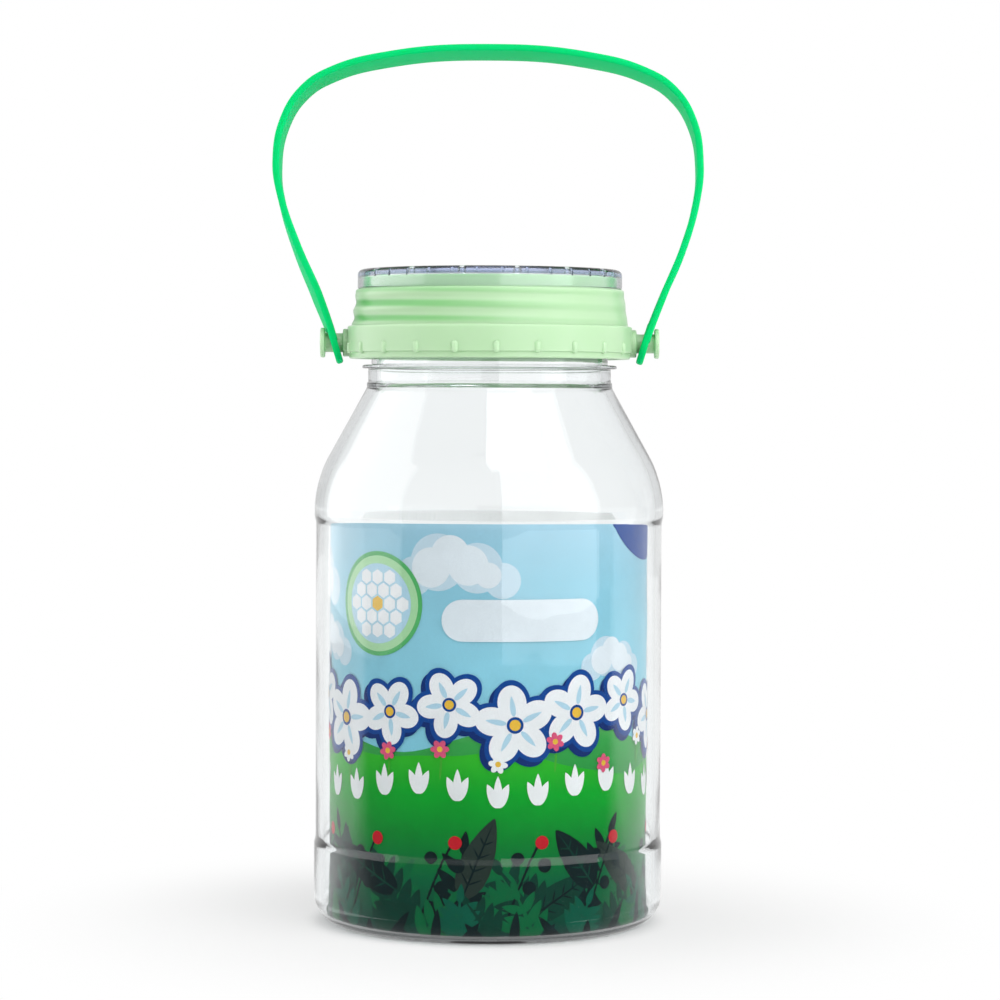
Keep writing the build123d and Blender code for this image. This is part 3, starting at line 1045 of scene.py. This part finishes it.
# Setting: a white floor in a white room, with two tall softboxes and one overhead. What is
# seen in one mirror reflection is dimmer towards the camera, and so is the floor by the jar's
# foot; light that has bounced off matt things finds matt paint and a plainer room.
floor_mesh = bmesh.new()
bmesh.ops.create_grid(floor_mesh, x_segments=1, y_segments=1, size=6)
floor_data = bpy.data.meshes.new("floor")
floor_mesh.to_mesh(floor_data)
floor_mesh.free()
ground = bpy.data.objects.new("floor", floor_data)
bpy.context.scene.collection.objects.link(ground)
floor_white, tree = new_material("floor white")
one_mirror = 1.0  # glossy depth of a path with exactly one mirror reflection
matt = node(tree, "BsdfDiffuse", Color=(0.82, 0.82, 0.82, 1))
glow = node(tree, "Emission", Color=(1, 1, 1, 1), Strength=1.0)
light_path = node(tree, "LightPath")
direct = node(tree, "Math", operation="LESS_THAN")
mirrored = node(tree, "Math", operation="COMPARE")
mirrored.inputs[1].default_value = one_mirror
spread = node(tree, "TexCoord")
away = node(tree, "VectorMath", operation="LENGTH")
# The glow is weakest under the jar, whose foot is 50 mm in radius, and whole from 160 mm out.
# One mirror reflection sees it fall off from behind the jar to its front instead.
fade = remap(tree, 0.046, 0.16, 0.55, 1.0, "SMOOTHERSTEP")
under = remap(tree, 0.044, 0.054, 0.1, 1.0, "SMOOTHSTEP")
lost = node(tree, "Math", operation="MULTIPLY")
split = node(tree, "SeparateXYZ")
dimmed = remap(tree, -0.055, 0.02, 0.08, 0.95)
strength = node(tree, "MixRGB", Color1=(1, 1, 1, 1))
either_way = node(tree, "Math", operation="MAXIMUM")
share = node(tree, "Math", operation="MULTIPLY")
either = node(tree, "MixShader")
output = node(tree, "OutputMaterial")
wire(tree, light_path, "Diffuse Depth", direct, 0)
wire(tree, light_path, "Glossy Depth", mirrored, 0)
wire(tree, spread, "Object", away, 0)
wire(tree, away, "Value", fade, "Value")
wire(tree, spread, "Object", split, "Vector")
wire(tree, split, "Y", dimmed, "Value")
wire(tree, mirrored, "Value", strength, "Fac")
wire(tree, dimmed, "Result", strength, "Color2")
wire(tree, strength, "Color", glow, "Strength")
wire(tree, away, "Value", under, "Value")
wire(tree, fade, "Result", lost, 0)
wire(tree, under, "Result", lost, 1)
wire(tree, lost, "Value", either_way, 0)
wire(tree, mirrored, "Value", either_way, 1)
wire(tree, either_way, "Value", share, 0)
wire(tree, direct, "Value", share, 1)
wire(tree, share, "Value", either, "Fac")
wire(tree, matt, "BSDF", either, 1)
wire(tree, glow, "Emission", either, 2)
wire(tree, either, "Shader", output, "Surface")
floor_data.materials.append(floor_white)

room = bpy.data.worlds.new("room")
bpy.context.scene.world = room
room.use_nodes = True
tree = room.node_tree
tree.nodes.clear()
light_path = node(tree, "LightPath")
facing = node(tree, "TexCoord")
split = node(tree, "SeparateXYZ")
# In one mirror reflection the room is dark in front and bright behind and above. Height counts
# four times as much as depth, so a reflection that rises only a little finds it bright.
depth = remap(tree, -0.8, 0.1, 0.06, 0.75, "SMOOTHSTEP")
overhead = node(tree, "Math", operation="MULTIPLY_ADD")
overhead.inputs[1].default_value = 4.0
mirrored = node(tree, "Math", operation="COMPARE")
mirrored.inputs[1].default_value = one_mirror
straight = node(tree, "Math", operation="SUBTRACT")
straight.inputs[0].default_value = 1.0
bounced = node(tree, "Math", operation="GREATER_THAN")
seen_direct = node(tree, "Math", operation="MAXIMUM")
lit = node(tree, "Background", Color=(1, 1, 1, 1), Strength=0.52)
shown = node(tree, "Background", Color=(1, 1, 1, 1))
either = node(tree, "MixShader")
output = node(tree, "OutputWorld")
wire(tree, facing, "Generated", split, "Vector")
wire(tree, split, "Z", overhead, 0)
wire(tree, split, "Y", overhead, 2)
wire(tree, overhead, "Value", depth, "Value")
wire(tree, light_path, "Glossy Depth", mirrored, 0)
wire(tree, mirrored, "Value", straight, 1)
wire(tree, light_path, "Diffuse Depth", bounced, 0)
wire(tree, straight, "Value", seen_direct, 0)
wire(tree, depth, "Result", seen_direct, 1)
wire(tree, seen_direct, "Value", shown, "Strength")
wire(tree, bounced, "Value", either, "Fac")
wire(tree, shown, "Background", either, 1)
wire(tree, lit, "Background", either, 2)
wire(tree, either, "Shader", output, "Surface")

# Bearings are in degrees from the camera's side, to the right
for name, bearing, distance, width, height, middle, radiance in (
    ("left softbox", -95.5, 1.3, 1.9, 1.9, 0.55, 1.2),
    ("right softbox", 42.8, 1.3, 1.75, 2.2, 0.75, 1.8),
    ("top softbox", 25.0, 1.0, 1.1, 0.9, 1.75, 2.4),
):
    lamp = bpy.data.lights.new(name, "AREA")
    lamp.shape = "RECTANGLE"
    lamp.size = width
    lamp.size_y = height
    lamp.energy = radiance * pi * width * height
    stand = bpy.data.objects.new(name, lamp)
    spot_at = Vector((distance * sin(radians(bearing)), -distance * cos(radians(bearing)), middle))
    stand.location = spot_at
    aim = Vector((0, 0, 0.13)) if name == "top softbox" else Vector((0, 0, middle))
    stand.rotation_euler = (aim - spot_at).to_track_quat("-Z", "Y").to_euler()
    bpy.context.scene.collection.objects.link(stand)

lens = bpy.data.cameras.new("camera")
lens.lens = 115.2
lens.sensor_width = 36
lens.clip_start = 0.01
camera = bpy.data.objects.new("camera", lens)
camera.location = (0.00303, -0.9248, 0.1521)
camera.rotation_euler = (radians(88.12), radians(-0.236), 0)
bpy.context.scene.collection.objects.link(camera)
bpy.context.scene.camera = camera
bpy.context.scene.view_settings.view_transform = "Standard"
